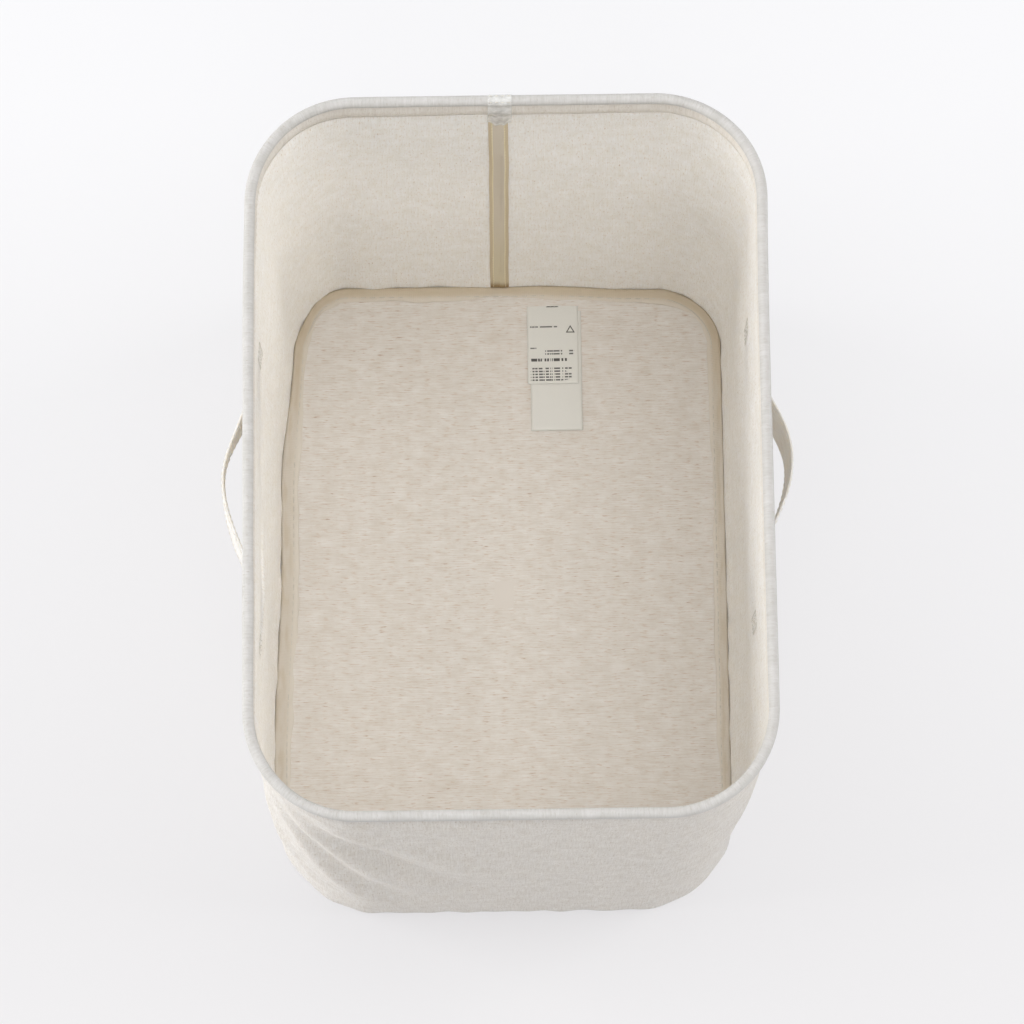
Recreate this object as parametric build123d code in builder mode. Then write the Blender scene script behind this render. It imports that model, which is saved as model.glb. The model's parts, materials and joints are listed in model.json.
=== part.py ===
from build123d import *
from math import atan2, cos, hypot, pi, sin
import os

# Open fabric storage bin: a tapered soft wall sewn to a flat floor panel, held open at the
# top by a wire hoop in a sewn casing, with a carrying strap on each long side.
# Millimetres, +Z up, floor at z = 0. The wall's closing seam is on the +Y side; the long
# sides with the straps face -X (left) and +X (right).

# ---- overall sizes ---------------------------------------------------------------------
RIM_WIDTH = 260.0            # over the outside of the hoop, along X
RIM_LENGTH = 370.0           # over the outside of the hoop, along Y
RIM_CORNER = 55.0            # outside corner radius of the hoop
HEIGHT = 260.0               # floor to the top of the hoop
BASE_WIDTH = 240.0           # footprint of the wall on the floor
BASE_LENGTH = 346.0
BASE_CORNER = 54.0

# ---- cloth and thread ------------------------------------------------------------------
CLOTH = 1.0                  # laminated wall and floor cloth
TAPE = 0.6                   # woven seam tape
BINDING = 0.5                # folded binding round the floor seam
LABEL = 0.25                 # care label leaf
THREAD = 0.6                 # sewing thread, diameter
TOUCH = 0.05                 # room between layers that are sewn face to face
CLEAR = 0.3                  # room between pieces that move past each other

# ---- hoop ------------------------------------------------------------------------------
CASING_R = 2.7               # outside radius of the sewn casing
CASING_BORE_R = 1.85
WIRE_R = 1.25                # spring wire hoop
SLEEVE_R = 1.75              # crimp that joins the two wire ends
SLEEVE_LENGTH = 26.0
WIRE_GAP = 0.4               # between the butted wire ends
HEM_DEPTH = 13.5             # casing hem below the middle of the hoop's tube
HEM_CLOTH = 0.9

# ---- closing seam and join tab -----------------------------------------------------------
SEAM_X = -1.7                # where the wall's closing seam stands along the back
SEAM_TAPE_WIDTH = 10.0
SEAM_ROW_GAP = 6.6           # between the two stitch rows
TAB_WIDTH = 12.0
TAB_CLOTH = 0.4
TAB_TAIL = 24.0              # how far the tab hangs below the middle of the tube

# ---- floor seam --------------------------------------------------------------------------
TURN_IN = 7.0                # wall edge turned in over the floor panel
BINDING_LIP = 0.5            # first bit of the turned edge left outside the binding

# ---- care label --------------------------------------------------------------------------
LABEL_X = 25.0               # middle of the leaves
LABEL_WIDTH = 27.7
LABEL_UPPER_LENGTH = 45.8
LABEL_LOWER_LENGTH = 72.0
LABEL_SHIFT = 1.6            # lower leaf is sewn on slightly to one side
TACK_LENGTH = 6.5
TACK_WIDTH = 0.9
TACK_IN = 5.6                # from the label's sewn edge

# ---- carrying straps ---------------------------------------------------------------------
STRAP_Z = 165.0              # height of the strap's middle
STRAP_WIDTH = 25.0
STRAP_CLOTH = 1.8
STRAP_SPAN = 142.0           # free span between the sewn ends
STRAP_SEWN = 12.0            # length of each sewn end
STRAP_REACH = 20.5           # outside of the bow from the wall
LOOP_HALF = 36.0             # half length of the part that swings
TACK_ROWS = 3
TACK_ROW_WIDTH = 1.2

# ---- derived -----------------------------------------------------------------------------
hoop_z = HEIGHT - CASING_R
hoop_w = RIM_WIDTH - 2 * CASING_R
hoop_l = RIM_LENGTH - 2 * CASING_R
hoop_r = RIM_CORNER - CASING_R
wall_top = hoop_z - CASING_R - CLEAR
top_w = hoop_w + CLOTH
top_l = hoop_l + CLOTH
top_r = hoop_r + CLOTH / 2

lean_x = atan2((top_w - BASE_WIDTH) / 2, wall_top)
lean_y = atan2((top_l - BASE_LENGTH) / 2, wall_top)
in_w = BASE_WIDTH - 2 * CLOTH
in_l = BASE_LENGTH - 2 * CLOTH
in_r = BASE_CORNER - CLOTH

flange_z = CLOTH + BINDING + 2 * TOUCH
flange_top = flange_z + CLOTH
binding_top = flange_top + TOUCH + BINDING
binding_reach = TURN_IN + TOUCH + BINDING

face_x = BASE_WIDTH / 2 + (top_w - BASE_WIDTH) / 2 * STRAP_Z / wall_top
bow = STRAP_REACH - STRAP_CLOTH - CLEAR

os.makedirs("parts", exist_ok=True)


def save(piece, label):
    piece.part.label = label
    export_step(piece.part, f"parts/{label}.step")


# ---- floor panel -------------------------------------------------------------------------
with BuildPart() as base_panel:
    with BuildSketch():
        RectangleRounded(in_w - 2 * TOUCH, in_l - 2 * TOUCH, in_r - TOUCH)
    extrude(amount=CLOTH)
save(base_panel, "base_panel")

# ---- side wall: tapered band with its lower edge turned in over the floor panel -----------
with BuildPart() as side_wall:
    with BuildSketch():
        RectangleRounded(BASE_WIDTH, BASE_LENGTH, BASE_CORNER)
    with BuildSketch(Plane.XY.offset(wall_top)):
        RectangleRounded(top_w, top_l, top_r)
    loft(ruled=True)
    with BuildSketch():
        RectangleRounded(in_w, in_l, in_r)
    with BuildSketch(Plane.XY.offset(wall_top)):
        RectangleRounded(top_w - 2 * CLOTH, top_l - 2 * CLOTH, top_r - CLOTH)
    loft(ruled=True, mode=Mode.SUBTRACT)
    with BuildSketch(Plane.XY.offset(flange_z)):
        RectangleRounded(in_w + CLOTH, in_l + CLOTH, in_r + CLOTH / 2)
        RectangleRounded(in_w - 2 * TURN_IN, in_l - 2 * TURN_IN, in_r - TURN_IN,
                         mode=Mode.SUBTRACT)
    extrude(amount=CLOTH)
save(side_wall, "side_wall")

# ---- binding folded round the turned-in edge ----------------------------------------------
with BuildPart() as base_seam_binding:
    with BuildSketch(Plane.XY.offset(CLOTH + TOUCH)):
        RectangleRounded(in_w - 2 * BINDING_LIP, in_l - 2 * BINDING_LIP, in_r - BINDING_LIP)
        RectangleRounded(in_w - 2 * binding_reach, in_l - 2 * binding_reach,
                         in_r - binding_reach, mode=Mode.SUBTRACT)
    extrude(amount=binding_top - CLOTH - TOUCH)
    with BuildSketch(Plane.XY.offset(flange_z - TOUCH)):
        RectangleRounded(in_w, in_l, in_r)
        RectangleRounded(in_w - 2 * (TURN_IN + TOUCH), in_l - 2 * (TURN_IN + TOUCH),
                         in_r - TURN_IN - TOUCH, mode=Mode.SUBTRACT)
    extrude(amount=CLOTH + 2 * TOUCH, mode=Mode.SUBTRACT)
save(base_seam_binding, "base_seam_binding")


def wall_outline(z, inset):
    """Width, length and corner radius of the wall's outer face at height z, moved inwards."""
    share = z / wall_top
    return (BASE_WIDTH + (top_w - BASE_WIDTH) * share - 2 * inset,
            BASE_LENGTH + (top_l - BASE_LENGTH) * share - 2 * inset,
            BASE_CORNER + (top_r - BASE_CORNER) * share - inset)


def hoop_path(z, w, l, r):
    """Closed rounded rectangle at height z."""
    with BuildLine(Plane.XY.offset(z)) as path:
        FilletPolyline((w / 2, -l / 2), (w / 2, l / 2), (-w / 2, l / 2), (-w / 2, -l / 2),
                       radius=r, close=True)
    return path


# Each ring starts in the middle of the right-hand straight, so its section stands there.
thread_in = TURN_IN - 1.0
with BuildPart() as base_seam_thread:
    ring = hoop_path(binding_top + THREAD / 2, in_w - 2 * thread_in, in_l - 2 * thread_in,
                     in_r - thread_in)
    with BuildSketch(Plane(ring.line @ 0, z_dir=ring.line % 0)):
        Circle(THREAD / 2)
    sweep(path=ring.line)
save(base_seam_thread, "base_seam_thread")

# ---- closing seam tape and its two stitch rows, on the wall's inner face at the back -------
seam_plane = Plane(origin=(SEAM_X, in_l / 2, 0), x_dir=(1, 0, 0),
                   z_dir=(0, -cos(lean_y), sin(lean_y)))
tape_low = binding_top + THREAD + CLEAR
tape_high = (hoop_z - HEM_DEPTH - 2 * CLEAR) / cos(lean_y)
with BuildPart() as side_seam_tape:
    with BuildSketch(seam_plane):
        with Locations((0, (tape_low + tape_high) / 2)):
            Rectangle(SEAM_TAPE_WIDTH, tape_high - tape_low)
    extrude(amount=TAPE)
save(side_seam_tape, "side_seam_tape")

with BuildPart() as side_seam_threads:
    for row in (-1, 1):
        foot = seam_plane * Location((row * SEAM_ROW_GAP / 2, tape_low + 2, TAPE + THREAD / 2))
        with BuildSketch(Plane(origin=foot.position, x_dir=(1, 0, 0),
                               z_dir=seam_plane.y_dir)):
            Circle(THREAD / 2)
        extrude(amount=tape_high - tape_low - 4)
save(side_seam_threads, "side_seam_threads")

# ---- care label: two leaves sewn on at the back floor seam, and the tack across them -------
label_edge = in_l / 2 - binding_reach - TOUCH
leaves = (
    ("care_label_lower", LABEL_LOWER_LENGTH, LABEL_SHIFT, 0),
    ("care_label_upper", LABEL_UPPER_LENGTH, 0, 1),
)
for label, length, shift, layer in leaves:
    with BuildPart() as leaf:
        with BuildSketch(Plane.XY.offset(CLOTH + TOUCH + layer * (LABEL + TOUCH))):
            with Locations((LABEL_X + shift, label_edge - length / 2)):
                Rectangle(LABEL_WIDTH, length)
        extrude(amount=LABEL)
    save(leaf, label)

with BuildPart() as label_tack:
    with BuildSketch(Plane.XY.offset(CLOTH + 2 * (LABEL + TOUCH) + TOUCH)):
        with Locations((LABEL_X, label_edge - TACK_IN)):
            RectangleRounded(TACK_LENGTH, TACK_WIDTH, TACK_WIDTH * 0.45)
    extrude(amount=TACK_WIDTH / 2)
save(label_tack, "label_tack")

# ---- hoop: casing, wire, crimp sleeve, hem stitching and join tab ---------------------------
hoop = hoop_path(hoop_z, hoop_w, hoop_l, hoop_r)
hoop_start = Plane(hoop.line @ 0, z_dir=hoop.line % 0)

hem_low = hoop_z - HEM_DEPTH
hem_high = hoop_z - CASING_R * 0.72
hem_out = CLOTH + CLEAR + TOUCH
hem_in = hem_out + HEM_CLOTH

with BuildPart() as rim_casing:
    for inset, mode in ((hem_out, Mode.ADD), (hem_in, Mode.SUBTRACT)):
        for z in (hem_low, hem_high):
            with BuildSketch(Plane.XY.offset(z)):
                RectangleRounded(*wall_outline(z, inset))
        loft(ruled=True, mode=mode)
    with BuildSketch(hoop_start):
        Circle(CASING_R)
    sweep(path=hoop.line)
    with BuildSketch(hoop_start):
        Circle(CASING_BORE_R)
    sweep(path=hoop.line, mode=Mode.SUBTRACT)
save(rim_casing, "rim_casing")

with BuildPart() as rim_wire:
    with BuildSketch(hoop_start):
        Circle(WIRE_R)
    sweep(path=hoop.line)
    with Locations((SEAM_X, hoop_l / 2, hoop_z)):
        Box(WIRE_GAP, 4 * WIRE_R, 4 * WIRE_R, mode=Mode.SUBTRACT)
save(rim_wire, "rim_wire")

join_start = Plane(origin=(SEAM_X - SLEEVE_LENGTH / 2, hoop_l / 2, hoop_z), x_dir=(0, 1, 0),
                   z_dir=(1, 0, 0))
with BuildPart() as rim_wire_sleeve:
    with BuildSketch(join_start):
        Circle(SLEEVE_R)
        Circle(WIRE_R + TOUCH, mode=Mode.SUBTRACT)
    extrude(amount=SLEEVE_LENGTH)
save(rim_wire_sleeve, "rim_wire_sleeve")

stitch_z = hoop_z - HEM_DEPTH * 0.7
with BuildPart() as rim_hem_thread:
    ring = hoop_path(stitch_z, *wall_outline(stitch_z, hem_in + TOUCH + THREAD / 2))
    with BuildSketch(Plane(ring.line @ 0, z_dir=ring.line % 0)):
        Circle(THREAD / 2)
    sweep(path=ring.line)
save(rim_hem_thread, "rim_hem_thread")

# The tab is a strip laid over the tube: a half ring that hangs down inside over the hem. Its
# tail clears the hem's stitches and, further down, the seam tape and its stitches.
tab_start = Plane(origin=(SEAM_X - TAB_WIDTH / 2, hoop_l / 2, hoop_z), x_dir=(0, 1, 0),
                  z_dir=(1, 0, 0))
past_hem = (hoop_l - wall_outline(stitch_z, hem_in + THREAD + 2 * TOUCH)[1]) / 2
past_tape = (hoop_l - wall_outline(hoop_z - TAB_TAIL, CLOTH + TAPE + THREAD + CLEAR)[1]) / 2
saddle_r = max(CASING_R + TOUCH, past_hem, past_tape)
with BuildPart() as rim_join_tab:
    with BuildSketch(tab_start):
        Circle(saddle_r + TAB_CLOTH)
        Circle(saddle_r, mode=Mode.SUBTRACT)
        with Locations((0, -saddle_r - TAB_CLOTH)):
            Rectangle(4 * saddle_r, 2 * (saddle_r + TAB_CLOTH), mode=Mode.SUBTRACT)
        with Locations((-saddle_r - TAB_CLOTH / 2, -TAB_TAIL / 2)):
            Rectangle(TAB_CLOTH, TAB_TAIL)
        with Locations((saddle_r + TAB_CLOTH / 2, -saddle_r / 2)):
            Rectangle(TAB_CLOTH, saddle_r)
    extrude(amount=TAB_WIDTH)
save(rim_join_tab, "rim_join_tab")


# ---- carrying straps ----------------------------------------------------------------------
def strap_plane(side):
    """Top view of one strap: local x runs along the wall, local y straight out from it."""
    return Plane(origin=(side * face_x, 0, STRAP_Z), x_dir=(0, -side, 0),
                 z_dir=(side * sin(lean_x), 0, cos(lean_x)))


def strap_point(u, offset):
    """A point of the strap's bow: u along the wall, offset across the cloth from its middle."""
    turn = 2 * pi * u / STRAP_SPAN
    out = CLEAR + STRAP_CLOTH / 2 + bow * (1 + cos(turn)) / 2
    slope = -bow * pi / STRAP_SPAN * sin(turn)
    norm = hypot(1, slope)
    return (u - offset * slope / norm, out + offset / norm)


def bowed_strip(start, end, count):
    """Strap cloth between two stations of the bow, cut square to the wall at both ends."""
    half = STRAP_CLOTH / 2
    stations = [start + (end - start) * k / count for k in range(count + 1)]
    outer = [strap_point(u, half) for u in stations]
    inner = [strap_point(u, -half) for u in stations]
    outer[0], outer[-1] = (start, outer[0][1]), (end, outer[-1][1])
    inner[0], inner[-1] = (start, inner[0][1]), (end, inner[-1][1])
    with BuildLine() as edge:
        Spline(*outer)
        Line(outer[-1], inner[-1])
        Spline(*reversed(inner))
        Line(inner[0], outer[0])
    make_face(edge.edges())


for side, side_name in ((-1, "left"), (1, "right")):
    with BuildPart() as loop:
        with BuildSketch(strap_plane(side)):
            bowed_strip(-LOOP_HALF, LOOP_HALF, 24)
        extrude(amount=STRAP_WIDTH / 2, both=True)
    save(loop, f"handle_{side_name}_loop")

    for end, end_name in ((-1, "front"), (1, "back")):
        along = -side * end
        with BuildPart() as root:
            with BuildSketch(strap_plane(side)):
                bowed_strip(along * (LOOP_HALF + 2 * CLEAR), along * STRAP_SPAN / 2, 14)
                with Locations((along * (STRAP_SPAN + STRAP_SEWN) / 2,
                                CLEAR + STRAP_CLOTH / 2)):
                    Rectangle(STRAP_SEWN, STRAP_CLOTH)
            extrude(amount=STRAP_WIDTH / 2, both=True)
        save(root, f"handle_{side_name}_end_{end_name}")

    with BuildPart() as tacks:
        with BuildSketch(strap_plane(side)):
            for end in (-1, 1):
                middle = end * (STRAP_SPAN + STRAP_SEWN) / 2
                with Locations((middle, CLEAR + STRAP_CLOTH + TOUCH + THREAD / 2)):
                    with GridLocations(STRAP_SEWN / TACK_ROWS, 0, TACK_ROWS, 1):
                        Rectangle(TACK_ROW_WIDTH, THREAD)
        extrude(amount=STRAP_WIDTH * 0.42, both=True)
    save(tacks, f"handle_{side_name}_bartacks")
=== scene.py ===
import json
import math

import bpy
import numpy as np
from mathutils import Matrix, Vector


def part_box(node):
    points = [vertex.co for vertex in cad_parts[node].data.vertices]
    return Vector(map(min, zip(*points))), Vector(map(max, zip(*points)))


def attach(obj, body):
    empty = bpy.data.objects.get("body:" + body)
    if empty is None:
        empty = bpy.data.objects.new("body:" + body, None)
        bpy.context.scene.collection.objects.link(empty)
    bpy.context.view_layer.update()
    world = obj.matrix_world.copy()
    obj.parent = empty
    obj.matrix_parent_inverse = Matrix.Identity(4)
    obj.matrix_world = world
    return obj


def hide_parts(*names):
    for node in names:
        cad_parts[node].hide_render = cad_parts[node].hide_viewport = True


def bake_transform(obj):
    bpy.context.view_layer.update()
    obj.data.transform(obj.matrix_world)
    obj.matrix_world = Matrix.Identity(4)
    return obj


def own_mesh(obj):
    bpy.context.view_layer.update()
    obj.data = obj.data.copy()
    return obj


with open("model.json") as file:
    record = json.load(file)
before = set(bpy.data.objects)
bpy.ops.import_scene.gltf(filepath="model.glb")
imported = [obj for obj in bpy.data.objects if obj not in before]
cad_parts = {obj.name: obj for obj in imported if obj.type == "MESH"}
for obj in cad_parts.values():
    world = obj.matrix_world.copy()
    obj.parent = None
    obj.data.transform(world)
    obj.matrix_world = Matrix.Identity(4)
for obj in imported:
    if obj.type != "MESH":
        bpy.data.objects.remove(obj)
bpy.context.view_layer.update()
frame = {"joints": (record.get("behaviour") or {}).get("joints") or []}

MM = 0.001
TAU = 2 * math.pi

# ---- sizes, read from the frame ---------------------------------------------------------
casing_low, casing_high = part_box("rim_casing")
wire_low, wire_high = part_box("rim_wire")
wall_low, wall_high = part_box("side_wall")
panel_low, panel_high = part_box("base_panel")
tape_low, tape_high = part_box("side_seam_tape")
tab_low, tab_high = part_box("rim_join_tab")
label_low, label_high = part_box("care_label_upper")
leaf_low, leaf_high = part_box("care_label_lower")
tack_low, tack_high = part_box("label_tack")
loop_low, loop_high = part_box("handle_right_loop")

WIRE_R = (wire_high.z - wire_low.z) / 2
HOOP_Z = (wire_high.z + wire_low.z) / 2
TUBE_R = casing_high.z - HOOP_Z
HOOP_HALF = (casing_high.x - TUBE_R, casing_high.y - TUBE_R)
HOOP_CORNER = 52.3 * MM                  # radius of the tube's middle line
HEM_LOW = casing_low.z
CLOTH = panel_high.z - panel_low.z
BASE_HALF = (panel_high.x + CLOTH, panel_high.y + CLOTH)
BASE_CORNER = 54 * MM
BACK_CORNER = 37 * MM                    # the soft floor turns tighter at the back
BASE_SHIFT = (-2.2 * MM, -5.0 * MM)      # the soft wall leans, so the floor isn't quite central
WALL_TOP = wall_high.z + 0.7 * MM
SEAM_X = (tape_low.x + tape_high.x) / 2 - 0.8 * MM
TAPE_HALF = (tape_high.x - tape_low.x) / 2
STRAP_Z = (loop_low.z + loop_high.z) / 2
STRAP_HALF = (loop_high.z - loop_low.z) / 2


# ---- small shape helpers ----------------------------------------------------------------
def smooth(x):
    """Runs from 0 at x = 0 to 1 at x = 1, level at both ends."""
    x = np.clip(x, 0, 1)
    return x * x * (3 - 2 * x)


def hump(x, centre, width):
    """A bell of height 1 and that half width."""
    return np.exp(-((x - centre) / width) ** 2)


def ripple(x, y, seed, scale):
    """Soft irregular waves of about unit height: a sum of nine sines whose directions and
    phases come from the seed and whose wavelengths spread about the scale."""
    rng = np.random.default_rng(seed)
    angle, phase = rng.uniform(0, TAU, (2, 9))
    size = TAU / (scale * rng.uniform(0.6, 1.7, 9))
    total = 0
    for a, p, k in zip(angle, phase, size):
        total = total + np.sin(k * (x * math.cos(a) + y * math.sin(a)) + p)
    return total / 3


SIDE_SHARE, CORNER_SHARE = 0.446, 0.296  # shares of a quarter turn of the outline
BACK_SHARE = 1 - SIDE_SHARE - CORNER_SHARE


def outline(s, half, corner):
    """Rounded rectangle: s runs 0 to 1 anticlockwise from the middle of the right-hand side.
    Each quarter is a straight, a quarter arc and a straight with fixed shares of s, so that
    lines with one s at different heights stand above each other.
    Returns x, y and the outward normal's x and y."""
    s = np.asarray(s, float) % 1.0
    quarter = np.floor(s * 4).astype(int) % 4
    f = s * 4 - np.floor(s * 4)
    f = np.where(quarter % 2 == 0, f, 1 - f)
    side = np.array([1, -1, -1, 1])[quarter]
    fore = np.array([1, 1, -1, -1])[quarter]
    turn = np.clip((f - SIDE_SHARE) / CORNER_SHARE, 0, 1) * math.pi / 2
    x = half[0] - corner + corner * np.cos(turn)
    y = half[1] - corner + corner * np.sin(turn)
    x = np.where(f > SIDE_SHARE + CORNER_SHARE, (half[0] - corner) * (1 - f) / BACK_SHARE, x)
    y = np.where(f < SIDE_SHARE, (half[1] - corner) * f / SIDE_SHARE, y)
    return x * side, y * fore, np.cos(turn) * side, np.sin(turn) * fore


def back_station(x, z=None):
    """The s at which the wall's back, or the hoop where no height is given, stands at x."""
    share = 1.0 if z is None else np.clip(z / WALL_TOP, 0, 1)
    reach = (HOOP_HALF[0] - HOOP_CORNER) * share + (BASE_HALF[0] - BACK_CORNER) * (1 - share)
    return 0.25 - 0.25 * BACK_SHARE * (x - BASE_SHIFT[0] * (1 - share)) / reach


def nearest(s, centre):
    """Signed distance round the outline from a station, in turns."""
    return (np.asarray(s) - centre + 0.5) % 1.0 - 0.5


def hoop(s):
    """Middle line of the rim's tube, and its outward normal: the rounded rectangle, pushed in
    at its back left corner and out at its back right one by a bell each, and sagging by a third
    bell at the left end of its back edge."""
    x, y, nx, ny = outline(s, HOOP_HALF, HOOP_CORNER)
    back_left, back_right = nearest(s, 0.375), nearest(s, 0.125)
    push = -1.0 * MM * hump(back_left, 0, 0.035) + 0.8 * MM * hump(back_right, 0, 0.04)
    z = HOOP_Z - 0.6 * MM * hump(nearest(s, 0.33), 0, 0.04)
    return np.stack([x + push * nx, y + push * ny, z + 0 * x], -1), np.stack([nx, ny, 0 * nx], -1)


def base_line(s, inset=0.0):
    """Point of the floor outline at station s, moved that far in, with the outward normal:
    a rounded rectangle, drawn in along the back part of its left side, at the corner there and
    along the right half of its back, and out a little along the front part of its left side."""
    radius = np.where(np.sin(TAU * np.asarray(s)) > 0, BACK_CORNER, BASE_CORNER)
    x, y, nx, ny = outline(s, BASE_HALF, radius)
    left, back = np.maximum(-nx, 0), np.maximum(ny, 0)
    side = (-7 * MM * smooth((y - 0.06) / 0.08) * smooth((0.185 - y) / 0.03)
            + 4 * MM * smooth((0.02 - y) / 0.11) * smooth((y + 0.16) / 0.06)) * left ** 2
    corner = -2.5 * MM * (2 * left * back) ** 2
    rear = -2.5 * MM * smooth((x - 0.02) / 0.06) * back ** 2
    out = side + corner + rear - inset
    return x + BASE_SHIFT[0] + out * nx, y + BASE_SHIFT[1] + out * ny, nx, ny


# ---- wall surface -----------------------------------------------------------------------------
ROUND = 1.149                            # length of the hoop's line, for places along the wall
WALL_EDGE = 4 * MM                       # how far up the wall's foot is rounded


def crease(p, z, start, end, height, width):
    """A fold along the line from start to end: a bell across it, a half sine along it."""
    p0, z0 = start
    dp, dz = end[0] - p0, end[1] - z0
    length = math.hypot(dp, dz)
    t = ((p - p0) * dp + (z - z0) * dz) / length ** 2
    across = ((p - p0) * dz - (z - z0) * dp) / length
    return height * hump(across, 0, width) * np.sin(math.pi * np.clip(t, 0, 1)) ** 0.8


def wall_folds(s, z):
    """How far the cloth stands out from its smooth shape: soft waves, slanting folds at both
    ends of the front and a sharp crease in the left side, which all fade at the foot and under
    the rim, puckers that die away above the floor seam, and a groove under the rim's tube."""
    p = nearest(s, 0.75) * ROUND                     # along the wall from the front's middle
    free = smooth(z / 0.03) * smooth((WALL_TOP - z) / 0.025)
    out = 1.1 * MM * ripple(p, z, 3, 0.16) + 0.35 * MM * ripple(p, z * 0.8, 5, 0.05)
    folds = (
        crease(p, z, (-0.125, 0.235), (-0.035, 0.045), 3.2 * MM, 9 * MM)
        + crease(p, z, (-0.135, 0.215), (-0.075, 0.030), 2.8 * MM, 8 * MM)
        + crease(p, z, (-0.105, 0.245), (0.020, 0.070), 2.4 * MM, 10 * MM)
        + crease(p, z, (-0.150, 0.160), (-0.110, 0.020), 2.2 * MM, 7 * MM)
        - crease(p, z, (-0.128, 0.220), (-0.055, 0.035), 2.2 * MM, 8 * MM)
        - crease(p, z, (-0.112, 0.235), (-0.010, 0.055), 2.0 * MM, 9 * MM)
        + crease(p, z, (0.160, 0.210), (0.095, 0.040), 1.6 * MM, 10 * MM)
        - crease(p, z, (-0.300, 0.128), (-0.203, 0.166), 1.8 * MM, 1.8 * MM)
    )
    pucker = 0.5 * MM * ripple(p, 0 * z, 11, 0.022) * np.exp(-z / 0.014)
    groove = 1.3 * MM * hump(z, WALL_TOP - 5 * MM, 4 * MM)
    return free * (out + folds) + pucker * smooth(z / 0.004) - groove


def wall_point(s, z, inward):
    """Point of the wall at station s and height z, that far in from its outer face. It lies on
    the straight line from the floor outline to the hoop, moved out by the folds, and its lowest
    few millimetres are rounded in as a quarter circle."""
    share = np.clip(z / WALL_TOP, 0, 1)
    base_x, base_y, _, _ = base_line(s)
    line, normal = hoop(s)
    top_x = line[..., 0] + normal[..., 0] * CLOTH / 2
    top_y = line[..., 1] + normal[..., 1] * CLOTH / 2
    x = base_x * (1 - share) + top_x * share
    y = base_y * (1 - share) + top_y * share
    foot = 1 - np.clip(z / WALL_EDGE, 0, 1)
    under = WALL_EDGE * (1 - np.sqrt(np.clip(1 - foot ** 2, 0, 1)))
    out = wall_folds(s, z) - under - inward
    return np.stack([x + out * normal[..., 0], y + out * normal[..., 1], z + 0 * x], -1)


# ---- mesh building ------------------------------------------------------------------------
class Piece:
    """Collects grids of points and makes one mesh object of them. A grid is an array
    (..., across, along, 3): leading dimensions repeat the shape, the last two are its
    parameters. Faces join neighbours; a closed direction also joins its ends."""

    def __init__(self, name):
        self.name = name
        self.points, self.faces, self.uvs, self.kinds, self.count = [], [], [], [], 0

    def grid(self, points, closed=(False, False), uv=None, kind=0, flip=False, caps=False):
        """Adds a grid. kind is the number of each face's finish, flip turns the faces round, and
        caps closes both ends of a tube that runs along the rows."""
        rows, cols = points.shape[-3:-1]
        many = int(np.prod(points.shape[:-3], dtype=int))
        self.points.append(points.reshape(-1, 3))
        i = np.arange(rows if closed[0] else rows - 1)[:, None]
        j = np.arange(cols if closed[1] else cols - 1)[None, :]
        corner = [(i, j), (i + 1, j), (i + 1, j + 1), (i, j + 1)]
        if flip:
            corner = corner[::-1]
        face = np.stack([(a % rows) * cols + b % cols + 0 * i * j for a, b in corner], -1)
        face = face.reshape(1, -1, 4) + (np.arange(many) * rows * cols)[:, None, None]
        self.faces += (face.reshape(-1, 4) + self.count).tolist()
        if uv is None:
            flat = np.zeros((many * face.shape[1] * 4, 2))
        else:
            flat = np.stack([uv[a + 0 * b, b + 0 * a] for a, b in corner], 2).reshape(-1, 2)
            flat = np.tile(flat, (many, 1))
        self.uvs.append(flat)
        kinds = np.broadcast_to(kind, (rows if closed[0] else rows - 1,
                                       cols if closed[1] else cols - 1))
        self.kinds.append(np.tile(kinds.reshape(-1), many))
        if caps:
            ring = np.arange(cols)
            for row, order in ((0, 1), (rows - 1, -1)):
                loop = ring[:: -order if flip else order] + row * cols
                ends = loop[None] + (np.arange(many) * rows * cols)[:, None] + self.count
                self.faces += ends.tolist()
                self.uvs.append(np.zeros((many * cols, 2)))
                self.kinds.append(np.zeros(many, int))
        self.count += many * rows * cols
        return self

    def build(self, finishes, body, slot, replaces=(), thickness=None):
        """Makes the object, parents it to the named body's empty when a body is given, and hides the CAD
        parts that it replaces.
        A thickness makes a wall of an open surface, half of it to each side."""
        mesh = bpy.data.meshes.new(self.name)
        mesh.from_pydata(np.concatenate(self.points).tolist(), [], self.faces)
        layer = mesh.uv_layers.new(name="cloth")
        layer.data.foreach_set("uv", np.concatenate(self.uvs).astype(np.float32).ravel())
        for finish in finishes:
            mesh.materials.append(finish)
        mesh.polygons.foreach_set("material_index", np.concatenate(self.kinds).astype(np.int32))
        mesh.polygons.foreach_set("use_smooth", np.ones(len(self.faces), bool))
        mesh.update()
        piece = bpy.data.objects.new(self.name, mesh)
        bpy.context.scene.collection.objects.link(piece)
        if thickness:
            modifier = piece.modifiers.new("thickness", "SOLIDIFY")
            modifier.thickness, modifier.offset = thickness, 0.0
        if body:
            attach(piece, body)
        if replaces:
            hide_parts(*replaces)
        return piece


def unit(v):
    """The vectors, each divided by its length."""
    return v / np.maximum(np.linalg.norm(v, axis=-1, keepdims=True), 1e-12)


def swept(line, out, up, profile):
    """A profile carried along a line: each profile point (a, b) stands at line + a*out + b*up.
    line, out and up are arrays (n, 3), profile is (k, 2) or (n, k, 2)."""
    a, b = profile[..., 0], profile[..., 1]
    if profile.ndim == 2:
        a, b = a[None], b[None]
    return line[:, None] + a[..., None] * out[:, None] + b[..., None] * up[:, None]


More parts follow.
